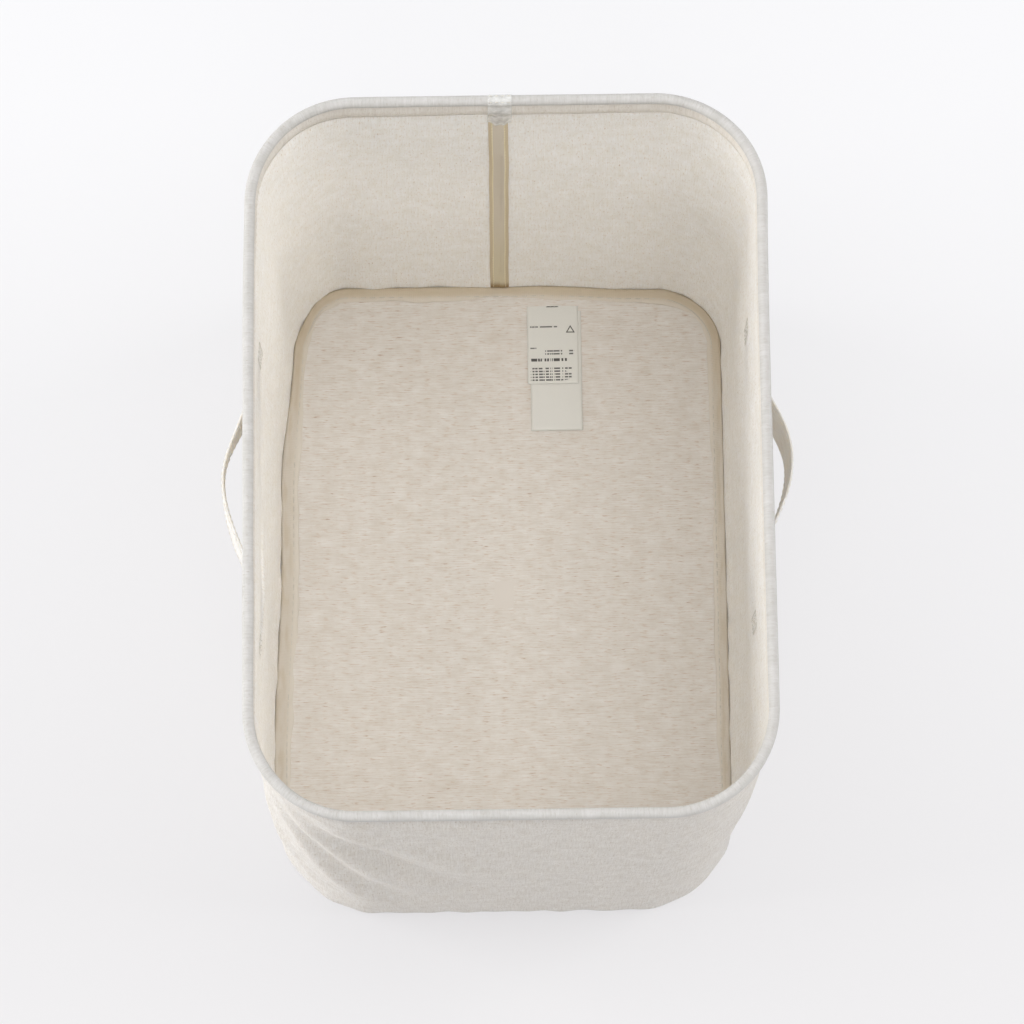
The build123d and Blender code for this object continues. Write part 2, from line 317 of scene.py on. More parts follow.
def stitches(points, along, out, length, radius, lift):
    """Thread stitches at points: each is a short capped tube that rises from the cloth, runs
    along it and dives back, a half sine seen from the side."""
    t = np.linspace(0, 1, 6)
    angle = np.arange(6) / 6 * TAU
    side = np.cross(along, out)
    middle = (points[:, None] + along[:, None] * ((t - 0.5) * length)[None, :, None]
              + out[:, None] * (lift * np.sin(math.pi * t) - lift * 0.6)[None, :, None])
    r = radius * (0.55 + 0.45 * np.sin(math.pi * t))
    ring = (np.cos(angle)[None, None, :, None] * side[:, None, None]
            + np.sin(angle)[None, None, :, None] * out[:, None, None])
    return middle[:, :, None] + r[None, :, None, None] * ring


# ---- finishes -------------------------------------------------------------------------------
class Flow:
    """One value that runs through a finish, so that sums are written as plain expressions."""

    def __init__(self, finish, socket):
        self.finish, self.socket = finish, socket

    def _math(self, operation, *values):
        return self.finish.node("Math", {"operation": operation}, dict(enumerate(values)))

    def __add__(self, other):
        return self._math("ADD", self, other)

    def __radd__(self, other):
        return self._math("ADD", other, self)

    def __sub__(self, other):
        return self._math("SUBTRACT", self, other)

    def __rsub__(self, other):
        return self._math("SUBTRACT", other, self)

    def __mul__(self, other):
        return self._math("MULTIPLY", self, other)

    def __rmul__(self, other):
        return self._math("MULTIPLY", other, self)

    def __truediv__(self, other):
        return self._math("DIVIDE", self, other)

    def __rtruediv__(self, other):
        return self._math("DIVIDE", other, self)

    def sin(self):
        return self._math("SINE", self)

    def abs(self):
        return self._math("ABSOLUTE", self)

    def fraction(self):
        return self._math("FRACT", self)

    def above(self, edge, soft):
        """0 below edge, 1 above edge + soft."""
        return self.finish.node(
            "MapRange", {"clamp": True, "interpolation_type": "SMOOTHSTEP"},
            {"Value": self, "From Min": edge, "From Max": edge + soft}, "Result")

    def between(self, low, high, soft):
        """1 between low and high, 0 outside, with soft edges inside the band."""
        return self.above(low, soft) * (1 - self.above(high - soft, soft))


class Finish:
    """A material with one Principled shader and the nodes that feed it."""

    def __init__(self, name):
        self.material = bpy.data.materials.new(name)
        self.material.use_nodes = True
        self.tree = self.material.node_tree
        self.shader = self.tree.nodes["Principled BSDF"]

    def node(self, kind, settings=None, values=None, output=0):
        """Adds a node of that type, sets its settings and its sockets' values or links, and
        returns the named output."""
        made = self.tree.nodes.new("ShaderNode" + kind)
        for key, value in (settings or {}).items():
            setattr(made, key, value)
        for key, value in (values or {}).items():
            self.feed(made.inputs[key], value)
        return Flow(self, made.outputs[output])

    def feed(self, socket, value):
        if isinstance(value, Flow):
            self.tree.links.new(value.socket, socket)
        else:
            socket.default_value = value

    def set(self, **values):
        """Sets the shader's own sockets; underscores stand for spaces."""
        for key, value in values.items():
            self.feed(self.shader.inputs[key.replace("_", " ")], value)

    def place(self, scale=(1, 1, 1), uv=True):
        """Cloth coordinates in millimetres, or the object's own, scaled."""
        vector = self.node("TexCoord", None, None, "UV" if uv else "Object")
        return self.node("Mapping", None, {
            "Vector": vector, "Scale": tuple(k / MM for k in scale)})

    def noise(self, vector, detail=2.0, rough=0.5):
        return self.node("TexNoise", {"noise_dimensions": "3D"}, {
            "Vector": vector, "Scale": 1.0, "Detail": detail, "Roughness": rough}, "Fac")

    def mix(self, share, a, b):
        """Colour a where share is 0, b where it is 1."""
        return self.node("Mix", {"data_type": "RGBA"}, {0: share, 6: a, 7: b}, 2)

    def bump(self, height, distance, strength):
        return self.node("Bump", None, {"Height": height, "Distance": distance,
                                        "Strength": strength}, "Normal")

    def parts(self, vector):
        """The three numbers of a vector."""
        made = self.node("SeparateXYZ", None, {0: vector}, "X")
        outputs = made.socket.node.outputs
        return made, Flow(self, outputs["Y"]), Flow(self, outputs["Z"])


def colour(red, green, blue):
    """A display colour, 0 to 255, as the linear colour that the shader takes."""
    c = np.array([red, green, blue]) / 255
    c = np.where(c <= 0.04045, c / 12.92, ((c + 0.055) / 1.055) ** 2.4)
    return (*c.tolist(), 1.0)


YARN = 0.62                              # spacing of the linen's yarns, in millimetres


def linen(name, ground, pale, tan, fleck, grain, slub, flecks, streak=1.0, glow=0.0):
    """Linen-look cloth. Its yarns run along both cloth directions; grain is the way the streaks
    run, 'weft' along u or 'warp' along v. Streaks between ground and pale are noise stretched
    along the grain, with a broad cloudy noise added. Slubs in tan are the brighter parts of a
    shorter noise, flecks its brightest spots, and glow is how much light the cloth lets in."""
    f = Finish(name)
    long_way, cross = (0.075, 1.5) if grain == "weft" else (1.2, 0.07)
    streaks = f.noise(f.place((long_way, cross, 1)), 4.0, 0.65)
    cloud = f.noise(f.place((0.11, 0.14, 1)), 4.0, 0.62)
    short, thin = (0.2, 1.4) if grain == "weft" else (1.2, 0.35)
    slubs = f.noise(f.place((short, thin, 1)), 2.0, 0.55)
    rare = f.noise(f.place((0.09, 0.11, 1)), 2.0, 0.5)
    fine = f.noise(f.place((1.6, 1.6, 1)), 2.0, 0.7)
    u, v, _ = f.parts(f.place())
    warp = (u * (TAU / YARN) + fine * 2.2).sin()
    weft = (v * (TAU / YARN) + fine * 2.2).sin()
    tone = f.mix((streaks - 0.5) * (1.9 * streak) + (cloud - 0.5) * 1.3 + 0.55, ground, pale)
    tone = f.mix(slubs.above(0.53, 0.2) * slub, tone, tan)
    spots = slubs.above(0.66, 0.06) * rare.above(0.5, 0.16)
    tone = f.mix(spots * flecks, tone, fleck)
    weave = warp * 0.5 + weft * 0.5
    tone = f.mix((weave * 0.5 + 0.5) * 0.10, tone, fleck)
    height = weave * 0.5 + streaks * 1.3 + fine * 0.8
    f.set(Base_Color=tone, Roughness=fine * 0.12 + 0.74, Sheen_Weight=0.12,
          Sheen_Roughness=0.5, Specular_IOR_Level=0.25, Subsurface_Weight=glow,
          Subsurface_Radius=(1.0, 0.9, 0.75), Subsurface_Scale=4 * MM,
          Normal=f.bump(height, 0.22 * MM, 0.55))
    return f.material


def thread_finish(name, tone, shade):
    """Twisted thread: fine slanted plies."""
    f = Finish(name)
    x, y, z = f.parts(f.place(uv=False))
    ply = ((x + y + z) * (TAU / 0.5)).sin() * 0.5 + 0.5
    f.set(Base_Color=f.mix(ply * 0.5, tone, shade), Roughness=0.55, Sheen_Weight=0.1,
          Specular_IOR_Level=0.4, Normal=f.bump(ply, 0.05 * MM, 0.6))
    return f.material


inside = linen("linen_inside", colour(234, 229, 219), colour(252, 250, 247),
               colour(220, 203, 183), colour(184, 157, 128), "warp", 0.6, 0.6, glow=0.5)
outside = linen("linen_outside", colour(200, 194, 186), colour(225, 222, 217),
                colour(184, 170, 154), colour(155, 135, 113), "warp", 0.6, 0.5, glow=0.5)
floor_linen = linen("linen_floor", colour(230, 222, 211), colour(249, 246, 241),
                    colour(217, 196, 175), colour(172, 136, 104), "weft", 0.65, 0.6)
casing_linen = linen("linen_casing", colour(190, 188, 183), colour(213, 211, 209),
                     colour(180, 173, 163), colour(154, 139, 120), "warp", 0.4, 0.3, streak=0.8)
hem_linen = linen("linen_hem", colour(220, 213, 203), colour(238, 234, 227),
                  colour(205, 194, 178), colour(174, 152, 128), "warp", 0.5, 0.4)
strap_linen = linen("linen_strap", colour(207, 203, 196), colour(224, 222, 218),
                    colour(194, 186, 173), colour(168, 152, 132), "weft", 0.5, 0.4, glow=1.0)


def seam_tape_finish():
    """The closing seam's tape: ribbed, greyish between its two stitch rows and pale along them, browner
    outside them as painted shade along its edges, yellower towards its foot, and painted dark brown at its
    foot as shade in the corner by the floor."""
    f = Finish("seam_tape")
    u, v, _ = f.parts(f.place())
    fine = f.noise(f.place((1.4, 1.4, 1)), 3.0, 0.6)
    rib = (v * (TAU / 0.9) + fine).sin() * 0.5 + 0.5
    away = u.abs() + fine * 0.25
    # painted shade: a browner tone on the tape's edges, outside its stitch rows, stands for the shade
    # along them
    painted_edge_shade = away.above(3.3, 0.5)
    line = away.between(2.85, 3.75, 0.3)
    low = 1 - v.above(6, 120)
    # painted shade: the tape turns dark brown over its lowest 8 to 17 mm, in the corner by the floor
    foot = 1 - (v + fine * 3).above(8, 9)
    tone = f.mix(painted_edge_shade, f.mix(low, colour(213, 203, 186), colour(220, 209, 180)),
                 colour(210, 194, 164))
    tone = f.mix(line * 0.95, tone, colour(252, 243, 214))
    tone = f.mix(foot * 0.92, tone, colour(146, 116, 68))
    f.set(Base_Color=f.mix(rib * 0.12, tone, colour(186, 168, 132)), Roughness=0.8,
          Sheen_Weight=0.1, Specular_IOR_Level=0.25, Normal=f.bump(rib + fine, 0.12 * MM, 0.6))
    return f.material


def binding_finish():
    """The floor seam's binding: ribbed tape, khaki across the back, paler at the sides, and
    as pale as the floor along its inner edge."""
    f = Finish("binding_tape")
    u, v, _ = f.parts(f.place())
    _, y, _ = f.parts(f.place(uv=False))
    fine = f.noise(f.place((1.4, 1.4, 1)), 3.0, 0.6)
    broad = f.noise(f.place((0.3, 0.06, 1)), 2.0, 0.5)
    rib = (v * (TAU / 0.9) + fine).sin() * 0.5 + 0.5
    tone = f.mix((y + broad * 40).above(95, 70), colour(224, 216, 204), colour(216, 202, 180))
    tone = f.mix(broad.above(0.4, 0.25) * 0.35 + fine * 0.15, tone, colour(204, 188, 160))
    tone = f.mix(rib * 0.1, tone, colour(190, 172, 144))
    tone = f.mix((u + broad * 3).above(6.0, 4.0) * 0.75, tone, colour(234, 227, 216))
    f.set(Base_Color=tone, Roughness=0.8, Sheen_Weight=0.1, Specular_IOR_Level=0.25,
          Normal=f.bump(rib + fine, 0.12 * MM, 0.6))
    return f.material


def tab_finish():
    """The join tab's thin fleece: half clear, with denser fibres and patches."""
    f = Finish("join_tab_cloth")
    fibre = f.noise(f.place((0.5, 1.3, 1)), 4.0, 0.65)
    patch = f.noise(f.place((0.16, 0.16, 1)), 2.0, 0.5)
    f.set(Base_Color=f.mix(fibre, colour(238, 237, 233), colour(252, 252, 251)),
          Alpha=patch.above(0.3, 0.35) * 0.3 + fibre * 0.3 + 0.16, Roughness=0.45,
          Specular_IOR_Level=0.4, Normal=f.bump(fibre, 0.15 * MM, 0.7))
    return f.material


def steel_finish():
    """Drawn spring steel: fine lengthwise marks."""
    f = Finish("spring_steel")
    drawn = f.noise(f.place((0.4, 0.4, 6), uv=False), 3.0, 0.6)
    f.set(Base_Color=f.mix(drawn, colour(150, 150, 152), colour(190, 190, 192)),
          Metallic=1.0, Roughness=drawn * 0.2 + 0.25, Normal=f.bump(drawn, 0.02 * MM, 0.4))
    return f.material


def lit_floor_finish():
    """A lit table: it glows, more towards the back, so shadows on it stay faint."""
    f = Finish("studio_floor")
    _, y, _ = f.parts(f.place(uv=False))
    glow = f.mix((y * MM).above(-0.35, 0.8), colour(232, 230, 232), colour(244, 244, 247))
    f.set(Base_Color=colour(150, 150, 150), Roughness=0.9, Specular_IOR_Level=0.1,
          Emission_Color=glow, Emission_Strength=0.64)
    return f.material


seam_tape = seam_tape_finish()
binding_tape = binding_finish()
tab_cloth = tab_finish()
spring_steel = steel_finish()
seam_thread = thread_finish("seam_thread", colour(226, 214, 178), colour(188, 170, 128))
pale_thread = thread_finish("pale_thread", colour(226, 222, 212), colour(190, 182, 166))
hem_thread = thread_finish("hem_thread", colour(232, 225, 213), colour(206, 196, 180))
dark_thread = thread_finish("dark_thread", colour(96, 92, 88), colour(60, 58, 56))


def label_finish(name, printed):
    """Satin label leaf with fine ribs. The printed one has rows of dashes, which stand for
    small print, and a plain triangle outline; a row is a band of v cut up by noise in u."""
    f = Finish(name)
    u, v, _ = f.parts(f.place())
    fine = f.noise(f.place((1.2, 1.2, 1)), 2.0, 0.6)
    rib = (v * (TAU / 0.45)).sin() * 0.5 + 0.5
    tone = f.mix(fine * 0.4 + rib * 0.1, colour(238, 237, 231), colour(227, 226, 219))
    if printed:
        row = v / 1.65
        wide = f.noise(f.place((0, 0.31, 1)), 0.0, 0.5)      # one value for each height
        dashes = f.noise(f.place((1.1, 0.05, 1)), 0.0, 0.5)
        line = row.fraction().between(0.05, 0.65, 0.08)
        block = v.between(1.5, 9.8, 0.1) * u.between(1.5, 24.0, 0.3)
        ends = (wide * 46 - u + 1).above(0, 0.4)
        ink = line * block * ends * dashes.above(0.4, 0.05) * 0.85
        top = v.between(32.0, 32.9, 0.12) * u.between(1.5, 16.5, 0.2)
        short = v.between(20.0, 20.8, 0.12) * u.between(1.5, 5.0, 0.2)
        pair = line * v.between(16.0, 19.6, 0.1) * u.between(9.5, 19.0, 0.2)
        pair = pair + line * v.between(16.0, 19.6, 0.1) * u.between(22.5, 25.5, 0.2)
        ink = (top + short + pair) * dashes.above(0.36, 0.06) * 0.8 + ink
        ink = v.between(12.8, 14.6, 0.15) * u.between(1.5, 21.5, 0.3) * dashes.above(
            0.4, 0.04) * 0.9 + ink
        x, y = (u - 23.4).abs(), v - 30.4
        edge = f.node("Math", {"operation": "MAXIMUM"}, {0: x * 0.866 + y * 0.5, 1: 0 - y})
        ink = (1 - (edge - 1.15).abs().above(0.2, 0.15)) * 0.95 + ink
        tone = f.mix(ink.above(0.0, 1.0), tone, colour(74, 72, 70))
    f.set(Base_Color=tone, Roughness=0.5, Sheen_Weight=0.15, Specular_IOR_Level=0.35,
          Normal=f.bump(rib + fine, 0.03 * MM, 0.5))
    return f.material


plain_label = label_finish("label_plain", False)
printed_label = label_finish("label_printed", True)

# ---- camera, light and floor ------------------------------------------------------------------
TILT = math.radians(74.26)               # below the horizon
TURN = math.radians(-0.74)
DISTANCE = 2.899
AIM = Vector((2.1 * MM, 41.4 * MM, 0))
forward = Vector((0, math.cos(TILT), -math.sin(TILT)))
above = Vector((0, math.sin(TILT), math.cos(TILT)))
side = Vector((1, 0, 0))
spin = Matrix.Rotation(TURN, 3, "Z")
eye = spin @ (AIM - forward * DISTANCE)
turned = Matrix((side, above, -forward)).transposed()
lens = bpy.data.cameras.new("camera")
lens.sensor_width, lens.lens = 36.0, 189.42
lens.clip_start, lens.clip_end = 0.05, 50
camera = bpy.data.objects.new("camera", lens)
camera.matrix_world = Matrix.Translation(eye) @ (spin @ turned).to_4x4()
bpy.context.scene.collection.objects.link(camera)
bpy.context.scene.camera = camera
bpy.context.scene.view_settings.view_transform = "Standard"

world = bpy.data.worlds.new("studio")
world.use_nodes = True
sky = world.node_tree.nodes["Background"].inputs
sky["Color"].default_value = (0.98, 0.985, 1.0, 1)
sky["Strength"].default_value = 0.37
bpy.context.scene.world = world


def lamp(name, place, aim, size, power):
    """A square area lamp at place that shines towards aim."""
    data = bpy.data.lights.new(name, "AREA")
    data.shape, data.size, data.energy = "SQUARE", size, power
    made = bpy.data.objects.new(name, data)
    made.location = place
    made.rotation_euler = (Vector(aim) - Vector(place)).to_track_quat("-Z", "Y").to_euler()
    bpy.context.scene.collection.objects.link(made)


lamp("soft_top", (0, 0.3, 3.2), (0, 0, 0), 3.0, 43)
lamp("soft_left", (-3.2, 0.3, 1.0), (0, 0, 0.1), 2.0, 90)
lamp("soft_right", (2.6, 0.3, 2.6), (0, 0, 0.1), 2.0, 52)
lamp("soft_front", (0, -3.0, 2.2), (0, 0, 0.1), 2.0, 24)

floor = Piece("floor")
span = np.linspace(-6, 6, 25)
ground = np.stack(np.meshgrid(span, span, [0.0], indexing="ij"), -1)[:, :, 0]
floor.grid(ground - np.array([0, 0, 0.2 * MM]), flip=True)
floor.build([lit_floor_finish()], None, "floor_cloth")

# ---- wall ---------------------------------------------------------------------------------------
WALL_COLUMNS = 420
s = np.arange(WALL_COLUMNS) / WALL_COLUMNS
foot = np.array([0, 0.3, 0.8, 1.5, 2.4, 3.6, 5.0]) * MM
rise = np.concatenate([foot, np.linspace(7.5 * MM, 124 * MM, 32),
                       np.linspace(125.5 * MM, 170 * MM, 32),     # closer where the side is creased
                       np.linspace(174 * MM, WALL_TOP, 21)])
heights = np.concatenate([rise, rise[::-1]])
inward = np.repeat([0, CLOTH], len(rise))
points = wall_point(s[:, None], heights[None, :], inward[None, :])
around = np.arange(WALL_COLUMNS + 1)[:, None] / WALL_COLUMNS * ROUND
lengthwise = np.concatenate([heights, heights[:1]])[None, :]
uv = np.stack([around + 0 * lengthwise, lengthwise + 0 * around], -1)
kinds = np.repeat([0, 1], len(rise))
kinds[-1] = 0                            # the foot's underside is outside cloth
wall = Piece("wall_cloth").grid(points, (True, True), uv, kinds[None, :])
wall_piece = wall.build([outside, inside], "bin_base", "wall_cloth", ["side_wall"])


# ---- floor panel --------------------------------------------------------------------------------
def floor_height(x, y):
    """Top of the floor panel: almost flat, swelling a little in broad patches."""
    return CLOTH + 0.5 * MM + 0.5 * MM * ripple(x, y, 21, 0.11)


s = np.arange(300) / 300
edge_x, edge_y, _, _ = base_line(s, 2.5 * MM)
TOP_RINGS = 60
share = np.concatenate([np.linspace(0.02, 1, TOP_RINGS) ** 0.8, np.linspace(1, 0.02, 12)])[:, None]
px = (edge_x - BASE_SHIFT[0]) * share + BASE_SHIFT[0]
py = (edge_y - BASE_SHIFT[1]) * share + BASE_SHIFT[1]
pz = floor_height(px, py) + 0.9 * MM * smooth((share - 0.9) / 0.08)
pz[TOP_RINGS:] = 0.1 * MM                # the rings after those make the underside
wrap = np.arange(len(s) + 1) % len(s)
panel = Piece("floor_panel")
panel.grid(np.stack([px, py, pz], -1), (False, True), np.stack([px, py], -1)[:, wrap], caps=True)
panel_piece = panel.build([floor_linen], "bin_base", "floor_cloth", ["base_panel"])


# ---- binding round the floor seam ---------------------------------------------------------------
def binding_spread(s):
    """How broad the binding is at station s, with 1 as its usual breadth: broader along the
    front part of the left side."""
    _, y, nx, _ = base_line(s)
    return 1 + 0.4 * smooth(-nx / 0.8) * smooth((0.13 - y) / 0.07)


def binding_wave(s):
    """Soft lumps along the binding."""
    return ripple(s * ROUND, 0 * s, 41, 0.045)


BINDING_COLUMNS = 520
s = np.arange(BINDING_COLUMNS) / BINDING_COLUMNS
lip = np.array([[-0.1, 5.6], [1.0, 5.7], [2.6, 5.0], [4.0, 4.0], [5.4, 3.1], [6.4, 2.5], [6.6, 2.1],
                [5.8, 1.6], [3.0, 1.3], [1.0, 1.6]]) * MM
p = s * ROUND
wave = binding_wave(s)
lumps = binding_spread(s) + 0.09 * wave + 0.06 * ripple(p, 0 * p, 43, 0.02)
inset = np.maximum(lip[:, 0], 0) * lumps[:, None] + np.minimum(lip[:, 0], 0)
bumps = 0.45 * MM * (wave + 0.6 * ripple(p, 0 * p, 42, 0.016))[:, None]
raised = lip[None, :, 1] + bumps * (lip[None, :, 1] / (6 * MM))
bx, by, _, _ = base_line(s[:, None], CLOTH + inset)
wrap = np.arange(BINDING_COLUMNS + 1)[:, None] / BINDING_COLUMNS * ROUND
girth = np.linspace(0, 20 * MM, len(lip) + 1)[None, :]
binding = Piece("floor_seam_binding")
binding.grid(np.stack([bx, by, raised + 0 * bx], -1), (True, True),
             np.stack([girth + 0 * wrap, wrap + 0 * girth], -1))
binding.build([binding_tape], "bin_base", "binding_tape", ["base_seam_binding"])

FLOOR_STITCHES = 250
s = np.arange(FLOOR_STITCHES) / FLOOR_STITCHES
x, y, nx, ny = base_line(s, CLOTH + 4.7 * MM * binding_spread(s))
points = np.stack([x, y, 3.65 * MM + 0.3 * MM * binding_wave(s)], -1)
out = unit(np.stack([-0.55 * nx, -0.55 * ny, 1 + 0 * nx], -1))
along = np.stack([-ny, nx, 0 * nx], -1)
Piece("floor_seam_stitches").grid(
    stitches(points, along, out, 3.3 * MM, 0.22 * MM, 0.28 * MM), (False, True),
    caps=True).build([pale_thread], "bin_base", "binding_thread", ["base_seam_thread"])


# ---- closing seam: tape and its two stitch rows -------------------------------------------------
def seam_sway(z):
    """How far the closing seam wanders to one side at that height."""
    return 0.25 * MM * ripple(z, 0 * z, 51, 0.07)


ROW_PLACE = 0.66                         # of half the tape's width
cross = np.linspace(-1, 1, 15)
dip = 0.22 * MM * hump(np.abs(cross), ROW_PLACE, 0.1)            # where the stitches pull it in
thick = 0.15 * MM + 0.45 * MM * (1 - np.abs(cross) ** 6) - dip
across = np.concatenate([cross, cross[::-1]]) * TAPE_HALF
depth = np.concatenate([thick, 0 * thick - 0.2 * MM])
z = np.linspace(tape_low.z + 1.5 * MM, tape_high.z, 150)[:, None]
station = back_station(SEAM_X + seam_sway(z) + across, z)
points = wall_point(station, z, CLOTH + depth * (1 + 0.2 * ripple(z, across[None], 52, 0.02)))
run = np.concatenate([across, across[:1]])[None]
seam = Piece("closing_seam_tape")
seam.grid(points, (False, True), np.stack([run + 0 * z, z + 0 * run], -1), flip=True, caps=True)
seam_piece = seam.build([seam_tape], "bin_base", "seam_tape", ["side_seam_tape"])

z = np.arange(tape_low.z + 4 * MM, tape_high.z - 3 * MM, 3.3 * MM)
rows = []
for row in (-1, 1):
    station = back_station(SEAM_X + seam_sway(z) + row * ROW_PLACE * TAPE_HALF, z)
    here = wall_point(station, z, CLOTH + 0.42 * MM)
    ahead = wall_point(station, z + 1 * MM, CLOTH + 0.42 * MM)
    out = wall_point(station, z, CLOTH + 1.42 * MM) - here
    rows.append(stitches(here, unit(ahead - here), unit(out), 2.9 * MM, 0.27 * MM, 0.34 * MM))
stitch_rows = Piece("closing_seam_stitches").grid(np.concatenate(rows), (False, True), caps=True)
stitch_piece = stitch_rows.build([seam_thread], "bin_base", "seam_thread", ["side_seam_threads"])


# ---- rim: casing tube and hem, wire and crimp ---------------------------------------------------
def circle(count):
    """Unit circle of that many points, as a profile."""
    angle = np.arange(count) / count * TAU
    return np.stack([np.cos(angle), np.sin(angle)], -1)


def along_hoop(s, profile):
    """A profile carried along the hoop's middle line through the stations s."""
    line, out = hoop(s)
    return swept(line, out, np.zeros_like(out) + np.array([0, 0, 1.0]), profile)


RIM_COLUMNS, TUBE_ROWS = 560, 20
s = np.arange(RIM_COLUMNS) / RIM_COLUMNS
swollen = TUBE_R * (1 + 0.02 * ripple(s * 40, 0 * s, 31, 2.0))
casing = Piece("rim_casing_cloth")
lap = np.arange(RIM_COLUMNS + 1)[:, None] / RIM_COLUMNS * ROUND
girth = np.arange(TUBE_ROWS + 1)[None, :] / TUBE_ROWS * TAU * TUBE_R
casing.grid(along_hoop(s, circle(TUBE_ROWS)[None] * swollen[:, None, None]), (True, True),
            np.stack([lap + 0 * girth, girth + 0 * lap], -1))
drop = np.linspace(HOOP_Z - 1.9 * MM, HEM_LOW, 8)
hem_out = wall_point(s[:, None], drop[None], CLOTH + 0.30 * MM)
hem_in = wall_point(s[:, None], drop[None], CLOTH + 1.15 * MM)
hem = np.concatenate([hem_in, hem_out[:, ::-1]], 1)
way = np.concatenate([drop, drop[::-1], drop[:1]])[None, :]
casing.grid(hem, (True, True), np.stack([lap + 0 * way, way + 0 * lap], -1), kind=1)
casing.build([casing_linen, hem_linen], "rim", "casing_cloth", ["rim_casing"])

WIRE_GAP = 0.0002                        # half the gap between the wire's ends, in turns
CRIMP_HALF, CRIMP_R = 0.0113, 1.75 * MM  # half the crimp's length, in turns
s_wire = back_station(SEAM_X) + np.linspace(WIRE_GAP, 1 - WIRE_GAP, 400)
wire = Piece("hoop_wire").grid(along_hoop(s_wire, circle(10) * WIRE_R), (False, True), caps=True)
wire.build([spring_steel], "rim", "hoop_wire", ["rim_wire"])
along = np.linspace(-1, 1, 14)
dent = 1 - 0.12 * hump(np.abs(along), 0.5, 0.14)
sleeve = circle(10)[None] * CRIMP_R * dent[:, None, None]
crimp = Piece("wire_crimp").grid(
    along_hoop(back_station(SEAM_X) + CRIMP_HALF * along, sleeve), (False, True), caps=True)
crimp.build([spring_steel], "rim", "crimp_metal", ["rim_wire_sleeve"])

# ---- hem stitches and the tab over the hoop's join ----------------------------------------------
HEM_STITCHES = 300
s = np.arange(HEM_STITCHES) / HEM_STITCHES
z = HOOP_Z - 9.5 * MM
here = wall_point(s, z + 0 * s, CLOTH + 1.2 * MM)
ahead = wall_point(s + 0.0005, z + 0 * s, CLOTH + 1.2 * MM)
out = wall_point(s, z + 0 * s, CLOTH + 2.2 * MM) - here
Piece("hem_stitches").grid(
    stitches(here, unit(ahead - here), unit(out), 3.1 * MM, 0.18 * MM, 0.2 * MM), (False, True),
    caps=True).build([hem_thread], "rim", "seam_thread", ["rim_hem_thread"])

# the tab runs over the tube in a circle from outside to inside, then down the hem to a torn edge
tab_x = np.linspace(tab_low.x, tab_high.x, 31)
station = back_station(tab_x)
centre, out = hoop(station)
turn = np.radians(np.linspace(-55, 180, 30))[:, None]
lay = TUBE_R + 0.2 * MM + 0.06 * MM * ripple(turn * 0.01, tab_x[None], 61, 0.012)
over = (centre[None] + (lay * np.cos(turn))[..., None] * out[None]
        + (lay * np.sin(turn))[..., None] * np.array([0, 0, 1.0]))
jag = 1.1 * MM * ripple(tab_x, 0 * tab_x, 62, 0.006) + 1.6 * MM * ripple(tab_x, 0 * tab_x, 63, 0.014)
fall = np.linspace(0.04, 1, 30)[:, None]
down_z = HOOP_Z - fall * (HOOP_Z - tab_low.z + jag[None])
lie = CLOTH + MM * (1.75 - 0.75 * smooth((HEM_LOW + 2 * MM - down_z) / (5 * MM)))
down = wall_point(station[None] + 0 * fall, down_z, lie + 0.15 * MM * ripple(
    down_z, tab_x[None], 64, 0.012))
strip = np.concatenate([over, down])
run = np.concatenate([[0], np.cumsum(np.linalg.norm(np.diff(strip[:, len(tab_x) // 2], axis=0), axis=-1))])
tab_uv = np.stack([tab_x[None] + 0 * run[:, None], run[:, None] + 0 * tab_x[None]], -1)
tab = Piece("join_tab").grid(strip, uv=tab_uv)
tab_piece = tab.build([tab_cloth], "rim", "tab_cloth", ["rim_join_tab"], 0.25 * MM)
row = np.linspace(0.12, 0.88, 4)
here, push = hoop(back_station(tab_low.x + (tab_high.x - tab_low.x) * row))
rows = []
for lean in (62, 128):
    tilt = math.radians(lean)
    out = push * math.cos(tilt) + np.array([0, 0, math.sin(tilt)])
    rows.append(stitches(here + out * (TUBE_R + 0.4 * MM), np.tile([1.0, 0, 0], (4, 1)), out,
                         1.9 * MM, 0.22 * MM, 0.3 * MM))
Piece("join_tab_stitches").grid(np.concatenate(rows), (False, True), caps=True).build(
    [pale_thread], "rim", "seam_thread")

# ---- care label ---------------------------------------------------------------------------------
LABEL_NEARER = 2.6 * MM                  # the leaves lie that much nearer than the solids
LABEL_RIGHT = 1.0 * MM                   # and that much to their right
LABEL_MORE = 3.6 * MM                    # and are that much longer


def leaf(name, low, high, lift, finish, node, curl):
    """A label leaf: a flat strip with a shallow wave, its free end lifted by curl."""
    u = np.linspace(low.x, high.x, 24)[:, None] + LABEL_RIGHT
    v = np.linspace(high.y, low.y - LABEL_MORE, 60)[None, :] - LABEL_NEARER
    t = (v[:, :1] - v) / (high.y - low.y)
    z = floor_height(u, v) + lift + 0.15 * MM * ripple(u, v, 71, 0.05) * smooth(t * 4) + curl * t ** 3
    points = np.stack([u + 0 * v, v + 0 * u, z], -1)
    uv = np.stack([u - u[0] + 0 * v, v - v[:, -1:] + 0 * u], -1)
    made = Piece(name).grid(points, uv=uv, flip=True)
    return made.build([finish], "bin_base", "label_satin", [node], 0.16 * MM)


under_leaf = leaf("label_under_leaf", leaf_low, leaf_high, 0.25 * MM, plain_label,
                  "care_label_lower", 0.4 * MM)
top_leaf = leaf("label_top_leaf", label_low, label_high, 0.5 * MM, printed_label,
                "care_label_upper", 0.3 * MM)
middle = (tack_low + tack_high) / 2
tack_x = middle.x + LABEL_RIGHT + np.array([-2.1, 0, 2.1]) * MM
tack_y = middle.y - LABEL_NEARER + 0 * tack_x
places = np.stack([tack_x, tack_y, floor_height(tack_x, tack_y) + 0.7 * MM], -1)
Piece("label_tack_stitches").grid(
    stitches(places, np.tile([1.0, 0.02, 0], (3, 1)), np.tile([0, 0, 1.0], (3, 1)), 2.5 * MM,
             0.26 * MM, 0.35 * MM), (False, True), caps=True).build(
    [dark_thread], "bin_base", "tack_thread", ["label_tack"])

